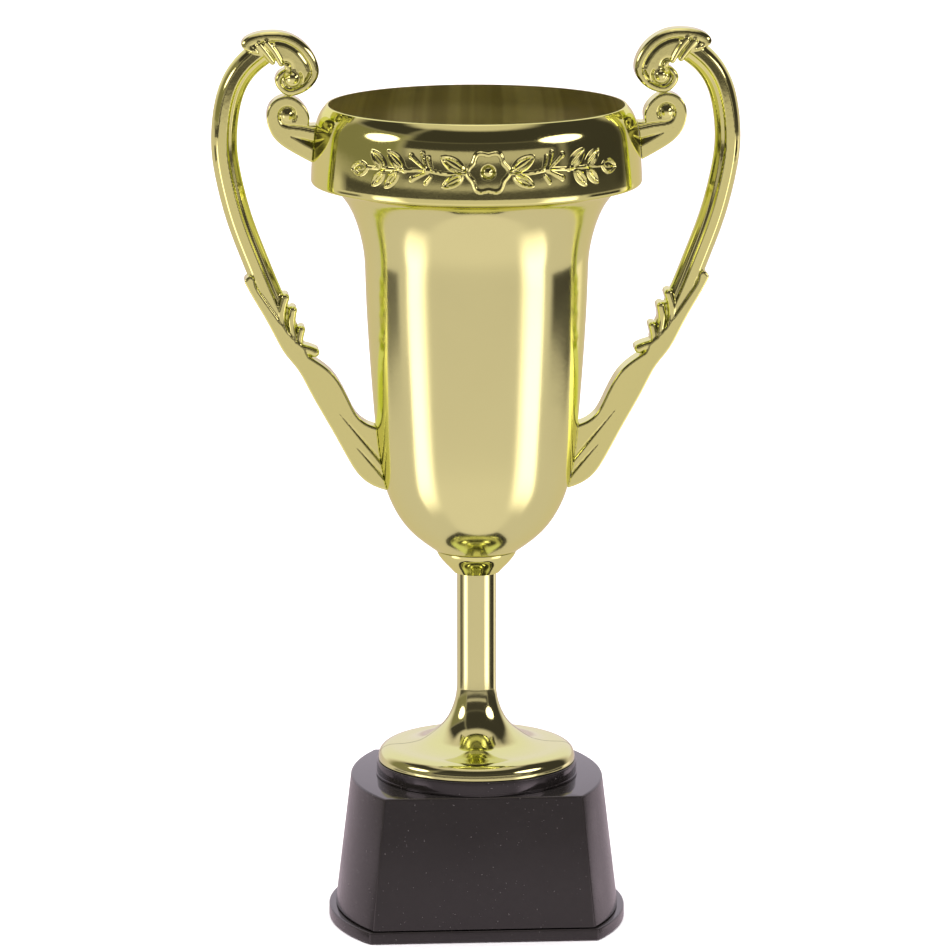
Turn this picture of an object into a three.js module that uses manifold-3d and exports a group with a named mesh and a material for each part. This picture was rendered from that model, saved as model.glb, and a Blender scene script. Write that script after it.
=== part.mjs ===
// Two-handled cup trophy: a moulded gold cup on a stem and foot, on a black weighted base.
// Millimetres. The origin is the middle of the underside, +Z is up, X runs from handle to
// handle, and the front faces -Y. One mesh is one separate physical piece.

import * as THREE from 'three';
import { mergeVertices } from 'three/addons/utils/BufferGeometryUtils.js';
import Module from 'manifold-3d';

const wasm = await Module();
wasm.setup();

// ---- driving dimensions ----

const GAP = 0.3;                 // clearance left between two pieces that touch
const WALL = 1.2;                // moulded wall of the cup, collar and foot

const PLATE_TOP = 3.0;           // base plate: top face height
const PLATE_HALF = { x: 38.9, y: 29.4, corner: 29.7 };

const BODY_BOTTOM = PLATE_TOP + GAP;
const BODY_TOP = 38.0;
const BODY_HALF = { x: 37.1, y: 29.2, corner: 28.8 };
const BODY_TAPER = { x: 0.889, y: 0.921 };   // top outline over bottom outline
const BODY_WALL = 2.0;

const RISER_BOTTOM = BODY_TOP + GAP;
const RISER_TOP = 41.9;
const RISER_RADIUS = 26.4;

const FOOT_BOTTOM = RISER_TOP + GAP;
const FOOT_RADIUS = 25.85;
const STEM_RADIUS = 5.15;
const STEM_BORE = 3.9;
const STEM_TOP = 96.2;

const CALYX_BOTTOM = 92.2;
const CALYX_TOP = 98.0;

const BOWL_BOTTOM = CALYX_TOP + GAP;
const FLANGE_RADIUS = 40.4;      // edge of the bowl, inside the foot of the collar
const FLANGE_BOTTOM = 194.5;
const COLLAR_BOTTOM = 194.8;
const LIP_BOTTOM = 196.0;        // inward lip of the collar, which rests on the bowl flange
const LIP_TOP = 197.2;
const LIP_RADIUS = 36.6;
const BAND_RADIUS = 42.7;        // widest part of the collar
const RIM_TOP = 215.1;

const ROD_RADIUS = 2.0;          // M4 tie rod
const ROD_HOLE = 2.4;            // clearance hole for it
const NUT_ACROSS_CORNERS = 8.1;

const HANDLE_DEPTH = 6.6;        // front to back
const PLATE_SCREW = { x: 22, y: 17.5, post: 3.3 };
const UPPER_SCREW_Z = 205;       // handle screw through the collar
const LOWER_SCREW_Z = 122;       // handle screw through the bowl
const BAND_LEAF_Z = 203.4;       // centre line of the raised flower and leaves
const PAD_RADIUS = 42.3;         // middle of each raised pad, inside the collar wall
const PAD_HEIGHT = 0.6;

// ---- turning meshes into solids and back ----

function toSolid(geometry) {
  geometry.deleteAttribute('normal');
  geometry.deleteAttribute('uv');
  const merged = mergeVertices(geometry, 1e-4);
  const index = merged.index.array;
  const triangles = [];
  for (let i = 0; i < index.length; i += 3) {
    const [a, b, c] = [index[i], index[i + 1], index[i + 2]];
    if (a !== b && b !== c && c !== a) triangles.push(a, b, c);
  }
  return new wasm.Manifold(new wasm.Mesh({
    numProp: 3,
    vertProperties: new Float32Array(merged.attributes.position.array),
    triVerts: new Uint32Array(triangles),
  }));
}

function toGeometry(solid) {
  const mesh = solid.getMesh();
  const geometry = new THREE.BufferGeometry();
  geometry.setAttribute('position', new THREE.BufferAttribute(new Float32Array(mesh.vertProperties), 3));
  geometry.setIndex(new THREE.BufferAttribute(new Uint32Array(mesh.triVerts), 1));
  return geometry;
}

function joined(solids) {
  return solids.reduce((sum, solid) => sum.add(solid));
}

// ---- shared shape makers ----

function vectors(points) {
  return points.map(([x, y]) => new THREE.Vector2(x, y));
}

function smooth(points, count) {
  return new THREE.SplineCurve(vectors(points)).getPoints(count);
}

// The same curve moved sideways, to its left when distance is positive.
function offsetCurve(points, distance) {
  return points.map((point, i) => {
    const before = points[Math.max(i - 1, 0)];
    const after = points[Math.min(i + 1, points.length - 1)];
    const along = after.clone().sub(before).normalize();
    return new THREE.Vector2(point.x - along.y * distance, point.y + along.x * distance);
  });
}

// A closed outline of [radius, height] points turned about the Z axis.
function revolve(points, segments) {
  const ring = THREE.ShapeUtils.area(points) > 0 ? points.slice() : points.slice().reverse();
  ring.push(ring[0].clone());
  const geometry = new THREE.LatheGeometry(ring, segments);
  geometry.rotateX(Math.PI / 2);
  return toSolid(geometry);
}

// A round bar or cutter from one height to another.
function rod(radius, bottom, top, segments = 24) {
  const geometry = new THREE.CylinderGeometry(radius, radius, top - bottom, segments);
  geometry.rotateX(Math.PI / 2);
  geometry.translate(0, 0, (top + bottom) / 2);
  return toSolid(geometry);
}

// A round bar or cutter along X at one height.
function crossRod(radius, start, end, z, segments = 16) {
  const geometry = new THREE.CylinderGeometry(radius, radius, end - start, segments);
  geometry.rotateZ(Math.PI / 2);
  geometry.translate((start + end) / 2, 0, z);
  return toSolid(geometry);
}

// An outline in X and Z, given thickness evenly in front of and behind the middle plane.
function slab(points, depth, bevel, closedCurve = true) {
  const outline = closedCurve
    ? new THREE.CatmullRomCurve3(points.map(([x, z]) => new THREE.Vector3(x, z, 0)), true, 'centripetal')
      .getPoints(points.length * 2).slice(0, -1).map((p) => new THREE.Vector2(p.x, p.y))
    : vectors(points);
  const geometry = new THREE.ExtrudeGeometry(new THREE.Shape(outline), {
    depth: depth - 2 * bevel,
    bevelEnabled: bevel > 0,
    bevelThickness: bevel,
    bevelSize: bevel,
    bevelOffset: -bevel,
    bevelSegments: 1,
  });
  geometry.rotateX(Math.PI / 2);
  geometry.translate(0, depth / 2 - bevel, 0);
  return toSolid(geometry);
}

// ---- base ----

// Plan of the base: flat front and back, bowed ends.
function basePlan({ x, y, corner }, inset = 0) {
  const bow = x - corner;
  const radius = (y * y + bow * bow) / (2 * bow);
  const half = Math.asin((y - inset) / (radius - inset));
  const centre = x - radius;
  const shape = new THREE.Shape();
  shape.absarc(centre, 0, radius - inset, -half, half, false);
  shape.absarc(-centre, 0, radius - inset, Math.PI - half, Math.PI + half, false);
  shape.closePath();
  return shape;
}

function prism(shape, bottom, top, taper = { x: 1, y: 1 }) {
  const geometry = new THREE.ExtrudeGeometry(shape, {
    depth: top - bottom,
    bevelEnabled: false,
    curveSegments: 12,
  });
  const position = geometry.attributes.position;
  for (let i = 0; i < position.count; i++) {
    const t = position.getZ(i) / (top - bottom);
    position.setX(i, position.getX(i) * (1 + (taper.x - 1) * t));
    position.setY(i, position.getY(i) * (1 + (taper.y - 1) * t));
  }
  geometry.translate(0, 0, bottom);
  return toSolid(geometry);
}

function plateScrewPlaces() {
  const { x, y } = PLATE_SCREW;
  return [[-x, -y], [x, -y], [x, y], [-x, y]];
}

function basePlate() {
  let plate = prism(basePlan(PLATE_HALF), 0, PLATE_TOP - 0.5);
  plate = plate.add(prism(basePlan(PLATE_HALF, 0.3), PLATE_TOP - 0.6, PLATE_TOP));
  for (const [x, y] of plateScrewPlaces()) {
    plate = plate.subtract(rod(3.3, -1, 1.5, 20).translate(x, y, 0));
    plate = plate.subtract(rod(1.7, -1, PLATE_TOP + 1, 16).translate(x, y, 0));
  }
  return plate;
}

function baseBody() {
  const outer = prism(basePlan(BODY_HALF), BODY_BOTTOM, BODY_TOP, BODY_TAPER);
  const hollow = prism(basePlan(BODY_HALF, BODY_WALL), BODY_BOTTOM - 0.01, BODY_TOP - BODY_WALL, BODY_TAPER);
  let body = outer.subtract(hollow);
  for (const [x, y] of plateScrewPlaces()) {
    const post = rod(PLATE_SCREW.post, BODY_BOTTOM, BODY_TOP - 1, 18);
    body = body.add(post.translate(x, y, 0));
    body = body.subtract(rod(1.5, BODY_BOTTOM - 1, 15, 14).translate(x, y, 0));
  }
  return body.subtract(rod(ROD_HOLE, 30, BODY_TOP + 1));
}

function plateScrew([x, y]) {
  const head = rod(2.9, 0.2, 1.3, 18);
  const shank = rod(1.2, 1.2, 13, 12);
  return head.add(shank).translate(x, y, 0);
}

function ballast() {
  const shape = new THREE.Shape();
  const [halfX, halfY, round] = [16, 19, 3];
  shape.absarc(halfX - round, halfY - round, round, 0, Math.PI / 2, false);
  shape.absarc(round - halfX, halfY - round, round, Math.PI / 2, Math.PI, false);
  shape.absarc(round - halfX, round - halfY, round, Math.PI, 1.5 * Math.PI, false);
  shape.absarc(halfX - round, round - halfY, round, 1.5 * Math.PI, 2 * Math.PI, false);
  return prism(shape, PLATE_TOP + GAP, PLATE_TOP + GAP + 14);
}

function riser() {
  const r = RISER_RADIUS;
  return revolve(vectors([
    [ROD_HOLE, RISER_BOTTOM], [r, RISER_BOTTOM], [r, 38.6], [r - 0.15, 38.8],
    [r - 0.15, RISER_TOP - 0.4], [r - 0.5, RISER_TOP], [ROD_HOLE, RISER_TOP],
  ]), 40);
}

// ---- foot and stem: two half shells that meet on the plane of the handles ----

function footAndStem() {
  const flare = smooth([
    [22.4, 46.0], [19.2, 46.15], [15.9, 46.7], [12, 48.8], [9.2, 51.1], [7.2, 54.0], [5.75, 58.2], [STEM_RADIUS, 62.5],
  ], 11);
  const rim = vectors([[25.6, FOOT_BOTTOM], [FOOT_RADIUS, 43.0], [25.4, 44.3], [24.2, 45.45]]);
  const outside = [...rim, ...flare, new THREE.Vector2(STEM_RADIUS, STEM_TOP)];
  const inside = [
    new THREE.Vector2(STEM_BORE, STEM_TOP),
    ...offsetCurve(flare, WALL).reverse().slice(0, -1),
    ...vectors([[23.6, 44.2], [24.4, 43.2], [24.4, FOOT_BOTTOM]]),
  ];
  return revolve([...outside, ...inside], 40);
}

// Which side of the parting plane a half lies on: -1 is the front, 1 the back.
function footHalf(side) {
  const box = new THREE.BoxGeometry(80, 60, 120);
  box.translate(0, side * (30 + GAP / 2), 80);
  return footAndStem().intersect(toSolid(box));
}

function calyx() {
  const outside = smooth([[6.0, CALYX_BOTTOM], [6.9, 93.2], [8.7, 95.1], [10.2, 97.2], [10.4, CALYX_TOP]], 8);
  const socket = STEM_RADIUS + GAP;
  return revolve([
    ...outside,
    ...vectors([[ROD_HOLE, CALYX_TOP], [ROD_HOLE, 96.5], [socket, 96.5], [socket, CALYX_BOTTOM]]),
  ], 40);
}

// ---- cup ----

function bowlSide() {
  return smooth([
    [11, BOWL_BOTTOM], [17.6, 103.7], [21.9, 110.1], [24.3, 117], [26.0, 128], [27.3, 143],
    [28.3, 158], [28.8, 170], [29.3, 177.5], [31.2, 185], [33.6, 190], [37, 193.6], [FLANGE_RADIUS, FLANGE_BOTTOM],
  ], 17);
}

function bowl() {
  const side = bowlSide();
  const inside = offsetCurve(side, WALL).reverse();
  const floor = vectors([[ROD_HOLE, BOWL_BOTTOM + 1.6], [ROD_HOLE, BOWL_BOTTOM]]);
  let shell = revolve([...side, ...inside, ...floor], 40);
  for (const end of [-1, 1]) {
    shell = shell.subtract(crossRod(1.4, 20, 30, LOWER_SCREW_Z, 10).scale([end, 1, 1]));
  }
  return shell;
}

function collarOutside() {
  return smooth([
    [41.4, COLLAR_BOTTOM], [42.4, 195.3], [BAND_RADIUS, 196.4], [42.48, 201],
    [42.02, 206], [41.35, 210.5], [40.2, 213.2], [38.7, RIM_TOP],
  ], 12);
}

function collarRing() {
  const inside = smooth([
    [38.2, RIM_TOP], [39.2, 212.6], [40.2, 210.1], [40.9, 206], [41.3, 201], [41.3, 198.6],
  ], 8);
  const edge = FLANGE_RADIUS + GAP;
  const lip = vectors([
    [40.4, LIP_TOP], [LIP_RADIUS, LIP_TOP], [LIP_RADIUS, LIP_BOTTOM], [edge, LIP_BOTTOM], [edge, COLLAR_BOTTOM],
  ]);
  return revolve([...collarOutside(), ...inside, ...lip], 40);
}

// A raised pad wrapped on the collar, at an arc length from the middle of the front.
function bandPad(arc, z, length, width, tilt) {
  const pad = new THREE.SphereGeometry(1, 6, 3);
  pad.scale(length / 2, PAD_HEIGHT, width / 2);
  pad.rotateY(tilt);
  const position = pad.attributes.position;
  for (let i = 0; i < position.count; i++) {
    const angle = (arc + position.getX(i)) / BAND_RADIUS;
    const radius = PAD_RADIUS - position.getY(i);
    position.setXYZ(i, radius * Math.sin(angle), -radius * Math.cos(angle), z + position.getZ(i));
  }
  return toSolid(pad);
}

// The flower with its two sprays of leaves; arc length, height, length, width, tilt of each.
function bandRelief() {
  const pads = [];
  for (let petal = 0; petal < 6; petal++) {
    const angle = (petal * Math.PI) / 3;
    pads.push(bandPad(3.6 * Math.cos(angle), BAND_LEAF_Z + 3.6 * Math.sin(angle), 5.6, 4.6, -angle));
  }
  for (const side of [-1, 1]) {
    for (const arc of [13, 25]) pads.push(bandPad(side * arc, BAND_LEAF_Z, 14, 1.4, 0));
    pads.push(bandPad(side * 36, BAND_LEAF_Z - 0.4, 5.5, 3, 0));
    for (const [arc, length] of [[9.5, 6.5], [17.5, 5.5], [24.5, 5.5], [29.5, 5.5]]) {
      pads.push(bandPad(side * arc, BAND_LEAF_Z + 2.4, length, 2.8, side * -0.6));
      pads.push(bandPad(side * arc, BAND_LEAF_Z - 2.4, length, 2.8, side * 0.6));
    }
  }
  return joined(pads);
}

function rimCollar() {
  const relief = bandRelief();
  let ring = collarRing();
  for (const turn of [0, 180]) {
    ring = ring.add(relief.rotate([0, 0, turn]));
  }
  for (const side of [-1, 1]) {
    ring = ring.subtract(crossRod(1.4, 36, 46, UPPER_SCREW_Z, 10).scale([side, 1, 1]));
  }
  return ring;
}

// ---- handles, drawn for the +X side ----

// Curved bar with an eight-sided section.
function handleArm() {
  const middle = new THREE.CatmullRomCurve3(
    [[54.6, 229.4], [58.4, 225.9], [62.6, 220], [64.8, 210.7], [64.9, 201.4], [62.7, 191.1],
      [58.8, 179], [54.2, 167.2], [50.4, 158.4]].map(([x, z]) => new THREE.Vector3(x, 0, z)),
    false,
    'centripetal',
  );
  const [half, flat] = [3.3, 1.4];
  const section = new THREE.Shape(vectors([
    [half, -flat], [half, flat], [flat, half], [-flat, half],
    [-half, flat], [-half, -flat], [-flat, -half], [flat, -half],
  ]));
  return toSolid(new THREE.ExtrudeGeometry(section, { steps: 24, bevelEnabled: false, extrudePath: middle }));
}

function handleBead(x, z, radius) {
  const ball = new THREE.SphereGeometry(radius, 12, 8);
  ball.scale(1, 3.9 / radius, 1);
  ball.translate(x, 0, z);
  return toSolid(ball);
}

// Top crest that curls over and down to the bead.
function handleCrest() {
  const outline = slab([
    [61.2, 230.2], [59, 233.2], [54.5, 234.7], [50, 234.6], [45, 232.1], [41.6, 227.6], [40.7, 223.5],
    [42.5, 219.3], [47.2, 216.9], [51.1, 218.6], [51.9, 221.9], [50, 224.6], [53, 226.3], [58, 227.6],
  ], HANDLE_DEPTH, 0.8);
  const pocket = slab([
    [57.6, 229.6], [52.5, 231.3], [48, 230.7], [44.2, 227.4], [43.4, 223.6], [45, 222], [47.5, 226.2], [52, 228.6],
  ], 3, 0);
  const recess = HANDLE_DEPTH / 2 + 0.4;
  return outline.subtract(pocket.translate(0, recess, 0)).subtract(pocket.translate(0, -recess, 0));
}

// Scroll under the crest that reaches the collar.
function handleScroll() {
  return slab([
    [49.5, 217.6], [52.9, 215.7], [54.2, 212.3], [53.4, 208.1], [50.6, 204.2], [46.3, 201.4], [42.1, 199.7],
    [40, 201], [40, 208.5], [41.5, 210.2], [43.6, 210.8], [43.3, 213.6], [45.4, 216.8],
  ], HANDLE_DEPTH, 0.8);
}

// Leaf that clasps the lower end of the arm and runs down to the bowl.
function handleLeaf() {
  return slab([
    [60.6, 169.8], [57.6, 163.8], [53, 155.9], [48.9, 148.8], [43.8, 140.8], [36.8, 127.9], [31.1, 118.1],
    [28.2, 115.4], [23, 113.8], [21, 122], [24, 131.5], [29.7, 133.2], [32.8, 137.7], [35.4, 142.4], [40.1, 147.4],
    [42, 149.3], [41.2, 151.9], [43.5, 153.3], [44.5, 155.6], [46.1, 158.4], [46.2, 162.2], [47.8, 163.5],
    [49.9, 166.4], [51.4, 161.8], [55.2, 167.6], [57.6, 170.9],
  ], HANDLE_DEPTH + 0.8, 0.9, false);
}

// Everything the handle must stay clear of: the bowl and the collar, swollen by the gap.
function cupEnvelope() {
  const side = offsetCurve(bowlSide(), -GAP);
  const band = offsetCurve(collarOutside(), -GAP);
  const outline = [...side.slice(0, -2), ...band];
  const axis = vectors([[0, band[band.length - 1].y], [0, side[0].y]]);
  return revolve([...outline, ...axis], 40);
}

function handle(side) {
  const parts = [
    handleCrest(), handleScroll(), handleArm(), handleLeaf(),
    handleBead(47.3, 221.3, 1.9), handleBead(48.9, 212, 1.9),
  ];
  let whole = joined(parts).subtract(cupEnvelope());
  whole = whole.subtract(crossRod(1.15, 40, 47.5, UPPER_SCREW_Z));
  whole = whole.subtract(crossRod(1.15, 22, 31.5, LOWER_SCREW_Z));
  return side > 0 ? whole : whole.mirror([1, 0, 0]);
}

// Self-tapping screw put in from inside the cup: head, then shank, along X.
function handleScrew(side, headStart, headEnd, tip, z) {
  const screw = crossRod(2.0, headStart, headEnd, z, 16).add(crossRod(0.85, headEnd - 0.2, tip, z, 12));
  return side > 0 ? screw : screw.mirror([1, 0, 0]);
}

// ---- tie rod and its fixings ----

function hexagon(bottom, top) {
  return rod(NUT_ACROSS_CORNERS / 2, bottom, top, 6);
}

function washer(bottom) {
  return rod(5, bottom, bottom + 0.9, 24).subtract(rod(ROD_HOLE, bottom - 1, bottom + 2));
}

const FLOOR_TOP = BOWL_BOTTOM + 1.6;
const TOP_WASHER = FLOOR_TOP + GAP;
const TOP_NUT = TOP_WASHER + 0.9 + GAP;
const BOTTOM_WASHER = BODY_TOP - BODY_WALL - GAP - 0.9;
const BOTTOM_NUT = BOTTOM_WASHER - GAP - 3.2;

// Dome nut, blind from below.
function topNut() {
  const dome = new THREE.SphereGeometry(3.4, 16, 10);
  dome.translate(0, 0, TOP_NUT + 3.2);
  const above = rod(6, TOP_NUT + 3, TOP_NUT + 9);
  const cap = toSolid(dome).intersect(above);
  return hexagon(TOP_NUT, TOP_NUT + 3.2).add(cap).subtract(rod(ROD_RADIUS + GAP, TOP_NUT - 1, TOP_NUT + 4.4));
}

function bottomNut() {
  return hexagon(BOTTOM_NUT, BOTTOM_NUT + 3.2).subtract(rod(ROD_RADIUS + GAP, BOTTOM_NUT - 1, BOTTOM_NUT + 5));
}

// ---- materials ----

const LOOKS = {
  gold: { color: 0xcdbd7c, roughness: 0.12, metalness: 1.0 },
  black: { color: 0x2b2826, roughness: 0.45, metalness: 0.0 },
  steel: { color: 0xb8b8b4, roughness: 0.3, metalness: 1.0 },
  iron: { color: 0x55534f, roughness: 0.7, metalness: 0.6 },
};

// ---- assembly ----

const group = new THREE.Group();

function place(name, solid, look) {
  const mesh = new THREE.Mesh(toGeometry(solid), new THREE.MeshStandardMaterial(LOOKS[look]));
  mesh.name = name;
  group.add(mesh);
}

place('base_plate', basePlate(), 'black');
place('base_body', baseBody(), 'black');
place('riser', riser(), 'black');
place('ballast', ballast(), 'iron');
plateScrewPlaces().forEach((spot, i) => place(`base_screw_${i + 1}`, plateScrew(spot), 'steel'));

place('foot_front', footHalf(-1), 'gold');
place('foot_back', footHalf(1), 'gold');
place('calyx', calyx(), 'gold');
place('bowl', bowl(), 'gold');
place('rim_collar', rimCollar(), 'gold');

for (const [name, side] of [['left', -1], ['right', 1]]) {
  place(`handle_${name}`, handle(side), 'gold');
  place(`upper_screw_${name}`, handleScrew(side, 39.6, 40.6, 46.8, UPPER_SCREW_Z), 'steel');
  place(`lower_screw_${name}`, handleScrew(side, 22.1, 23.1, 30.8, LOWER_SCREW_Z), 'steel');
}

place('tie_rod', rod(ROD_RADIUS, BOTTOM_NUT - 1.5, TOP_NUT + 4.1, 16), 'steel');
place('top_washer', washer(TOP_WASHER), 'steel');
place('top_nut', topNut(), 'steel');
place('bottom_washer', washer(BOTTOM_WASHER), 'steel');
place('bottom_nut', bottomNut(), 'steel');

export default group;
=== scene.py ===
"""Two-handled cup trophy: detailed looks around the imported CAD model.

Shapes are worked out in millimetres in the row frame: origin in the middle of the underside,
+Z up, the handles along X, the front facing -Y. mesh_piece() turns them into metres.
"""

import math

import bpy
import numpy as np
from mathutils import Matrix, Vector


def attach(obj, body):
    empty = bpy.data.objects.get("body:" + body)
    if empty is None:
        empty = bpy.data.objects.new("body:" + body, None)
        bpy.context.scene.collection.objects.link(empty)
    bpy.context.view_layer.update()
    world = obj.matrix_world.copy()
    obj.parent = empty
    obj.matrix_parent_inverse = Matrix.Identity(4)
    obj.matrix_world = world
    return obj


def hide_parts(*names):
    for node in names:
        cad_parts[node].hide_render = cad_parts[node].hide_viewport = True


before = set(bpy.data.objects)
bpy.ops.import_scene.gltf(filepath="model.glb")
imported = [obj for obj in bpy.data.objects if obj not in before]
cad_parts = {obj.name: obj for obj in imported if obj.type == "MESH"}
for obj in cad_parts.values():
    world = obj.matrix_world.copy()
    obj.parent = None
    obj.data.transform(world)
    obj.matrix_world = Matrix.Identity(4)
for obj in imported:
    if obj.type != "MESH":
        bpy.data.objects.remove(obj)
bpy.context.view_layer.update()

# ---- driving dimensions, in millimetres ----

MM = 0.001

# Base outlines: x and y are half sizes, corner is half the width of the flat front.
PLATE = {"x": 38.9, "y": 29.4, "corner": 29.7, "top": 3.0}
BODY = {"x": 37.1, "y": 29.2, "corner": 28.8, "bottom": 3.3, "top": 38.0}
BODY_TAPER = {"x": 0.889, "y": 0.921}
PLATE_SCREW_PLACES = [(-22, -17.5), (22, -17.5), (22, 17.5), (-22, 17.5)]
POST_RADIUS = 3.3
POST_HOLE = 1.5
ROD_HOLE = 2.4

RISER_RADIUS = 26.4
RISER_BOTTOM, RISER_TOP = 38.05, 41.9
FOOT_RADIUS = 25.8
FOOT_BOTTOM = 42.0
STEM_RADIUS = 5.15
STEM_BORE = 3.9
STEM_TOP = 96.2
SEAM = 0.24
HANDLE_GAP = 0.06
CALYX_BOTTOM, CALYX_TOP = 92.2, 98.0
CALYX_SHELF = 96.5
WALL = 1.2

# Turned outlines are (radius, height) points; a third number is a fillet radius.
CALYX_SIDE = [(6.0, CALYX_BOTTOM), (6.9, 93.2), (8.7, 95.1), (10.2, 97.2), (10.4, CALYX_TOP)]
FOOT_SIDE = [
    (FOOT_RADIUS, 42.5), (25.72, 43.3), (25.3, 44.4), (24.3, 45.35), (22.6, 45.95), (19.2, 46.15),
    (15.9, 46.7), (14, 47.4), (12, 48.7), (9.2, 51.0), (7.2, 53.8), (5.7, 57.8), (STEM_RADIUS, 61.4),
]
BOWL_SIDE = [
    (11, 98.3), (17.6, 103.7), (21.9, 110.1), (24.3, 117), (26, 128), (27.3, 143), (28.3, 158),
    (28.8, 170), (29.3, 177.5), (31.2, 185), (33.6, 190), (37, 193.6), (40.4, 194.5),
]
COLLAR_FOOT = [(40.7, 196.2), (40.7, 194.8, 0.2), (42.76, 194.8, 1.2), (42.7, 196.8)]
COLLAR_SIDE = [
    (42.7, 196.8), (42.58, 199.5), (42.31, 203), (42.02, 206), (41.75, 208.2), (41.3, 210.6), (40.2, 213.2),
    (38.7, 215.1),
]
COLLAR_INSIDE = [(38.2, 215.1), (39.2, 212.6), (40.2, 210.1), (40.9, 206), (41.3, 201), (41.3, 198.6)]
COLLAR_LIP = [(40.4, 197.2), (36.6, 197.2), (36.6, 196.2)]

BAND_RADIUS = 42.7
BAND_MIDDLE = 203.6
BAND_BOTTOM, BAND_TOP = 197.6, 210.2
BAND_STEP = 0.2
BAND_REACH = 41

# Raised flower and spray on the band: places are (arc length from the middle, height);
# a leaf is (foot, tip, width) and a bud is (foot, tip, radius).
LEAF_RISE = 0.5
FLOWER_RADIUS, FLOWER_LOBE = 5.45, 0.42
SPRAY_STEM = [
    (4.9, 203.4), (9.4, 203.1), (12.4, 203.3), (15.9, 203.8), (21.9, 203.6), (27, 203.6), (33.1, 203.4),
]
LEAVES = [
    ((6.1, 203.8), (11.9, 207.2), 2.7), ((6.6, 202.5), (11.5, 199.9), 2.3),
    ((22.0, 203.8), (27.0, 208.0), 2.6), ((27.2, 203.7), (32.3, 207.6), 2.6),
    ((23.7, 203.1), (27.2, 199.1), 2.2), ((27.9, 202.9), (31.3, 199.3), 2.2),
    ((33.2, 203.3), (38.8, 202.6), 3.3),
]
BUDS = [
    ((15.9, 203.9), (20.1, 207.2), 0.8), ((15.9, 204.2), (17.0, 207.9), 0.65),
    ((14.5, 204.0), (15.4, 207.0), 0.5), ((16.2, 203.2), (19.8, 201.4), 0.75),
    ((14.8, 202.2), (16.0, 200.6), 0.6), ((15.7, 203.8), (15.9, 203.8), 0.95),
    ((21.7, 203.7), (21.9, 203.7), 0.85),
]

# Handle outlines on the X-Z plane.
HANDLE_FACE = 3.3
LEAF_FACE = 3.6
ARM_HALF = 3.35
# Section of the arm: (distance in from its outer edge, height of its face).
ARM_SECTION = [
    (0, 0.6), (0.7, 2.0), (1.2, 2.7), (1.7, 3.1), (1.85, 3.14), (3.95, 3.22), (4.15, 2.95), (4.4, 2.7),
    (5.2, 2.45), (6.1, 1.85), (6.7, 1.1),
]
ARM_LINE = [
    (53.6, 230.1), (58.6, 226.2), (61.9, 221.8), (64.0, 215.8), (65.0, 206.5), (64.2, 198.3),
    (61.4, 186.7), (57.6, 176.2), (54.2, 167.6), (51.4, 161.2),
]
CREST_RIM = [
    (60.5, 231.2), (59.8, 232.6), (56.8, 234.1), (53.2, 234.6), (49.4, 234.3), (45.6, 232.6), (42.3, 229.3),
    (40.6, 224.8), (41.3, 221.9), (43.4, 219.6), (46.6, 218.15), (49.4, 218.35), (51.4, 220.3), (51.9, 222.2),
    (50.9, 224.0), (49.2, 225.0),
]
CREST_UNDERSIDE = [(49.6, 225.9), (51.2, 227.2), (53.2, 227.9), (55.6, 228.9), (58.0, 229.4), (60.0, 230.3)]
CREST_BEAD = (47.3, 222.5)
SCROLL_BEAD = (48.8, 213.1)
SCROLL_LOBE = [
    (43.3, 210.4), (43.1, 212.6), (43.7, 214.4), (45.3, 216.4), (48.2, 217.95), (51.4, 217.4), (53.5, 215.3),
    (54.1, 212.4), (53.4, 209.2), (51.2, 206.1), (47.0, 203.2), (42.4, 200.7), (38.0, 198.6),
]
LEAF_TIP = [
    (51.2, 160.0), (53.1, 162.7), (55.4, 166.1), (57.2, 169.3), (57.7, 171.1), (58.8, 171.5), (60.1, 170.4),
]
LEAF_BACK = [
    (60.1, 169.7), (57.9, 165.6), (55.0, 160.6), (52.4, 155.6), (49.8, 151.0), (46.6, 146.9), (43.2, 140.6),
    (37.7, 130.7), (33.2, 122.4), (30.4, 118.4), (27.0, 115.9), (22.0, 114.2),
]
LEAF_FRONT = [
    (26.0, 131.4), (28.4, 132.3), (31.0, 134.4), (33.1, 138.2), (35.4, 142.8), (38.0, 146.3), (41.3, 148.9),
    (43.6, 150.4),
]

# Fixings: each handle screw starts inside the cup and ends in a hole in the handle.
UPPER_SCREW = {"x": 39.6, "z": 205, "length": 7.2, "hole_end": 47.5}
LOWER_SCREW = {"x": 22.1, "z": 122, "length": 8.7, "hole_end": 31.5}
NUT_HEIGHT = 3.2


# ---- curves ----

def spline(points, count):
    """A smooth curve with continuous curvature through the points."""
    points = np.array(points, float)
    knots = np.r_[0, np.cumsum(np.sqrt(np.linalg.norm(np.diff(points, axis=0), axis=1)))]
    gaps = np.diff(knots)
    size = len(points)
    matrix = np.eye(size)
    rhs = np.zeros_like(points)
    for i in range(1, size - 1):
        matrix[i, i - 1: i + 2] = gaps[i - 1], 2 * (gaps[i - 1] + gaps[i]), gaps[i]
        slopes = np.diff(points[i - 1: i + 2], axis=0) / gaps[i - 1: i + 1, None]
        rhs[i] = 6 * (slopes[1] - slopes[0])
    bend = np.linalg.solve(matrix, rhs)
    at = np.linspace(0, knots[-1], count)
    span = np.clip(np.searchsorted(knots, at, side="right") - 1, 0, size - 2)
    gap = gaps[span][:, None]
    left = (at - knots[span])[:, None]
    right = gap - left
    first, last = points[span], points[span + 1]
    return (
        (bend[span] * right**3 + bend[span + 1] * left**3) / (6 * gap)
        + (first / gap - bend[span] * gap / 6) * right
        + (last / gap - bend[span + 1] * gap / 6) * left
    )


def offset(curve, distance):
    """The same curve moved sideways, to its left when distance is positive."""
    along = np.gradient(curve, axis=0)
    along /= np.linalg.norm(along, axis=1)[:, None]
    return curve + distance * np.c_[-along[:, 1], along[:, 0]]


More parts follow.
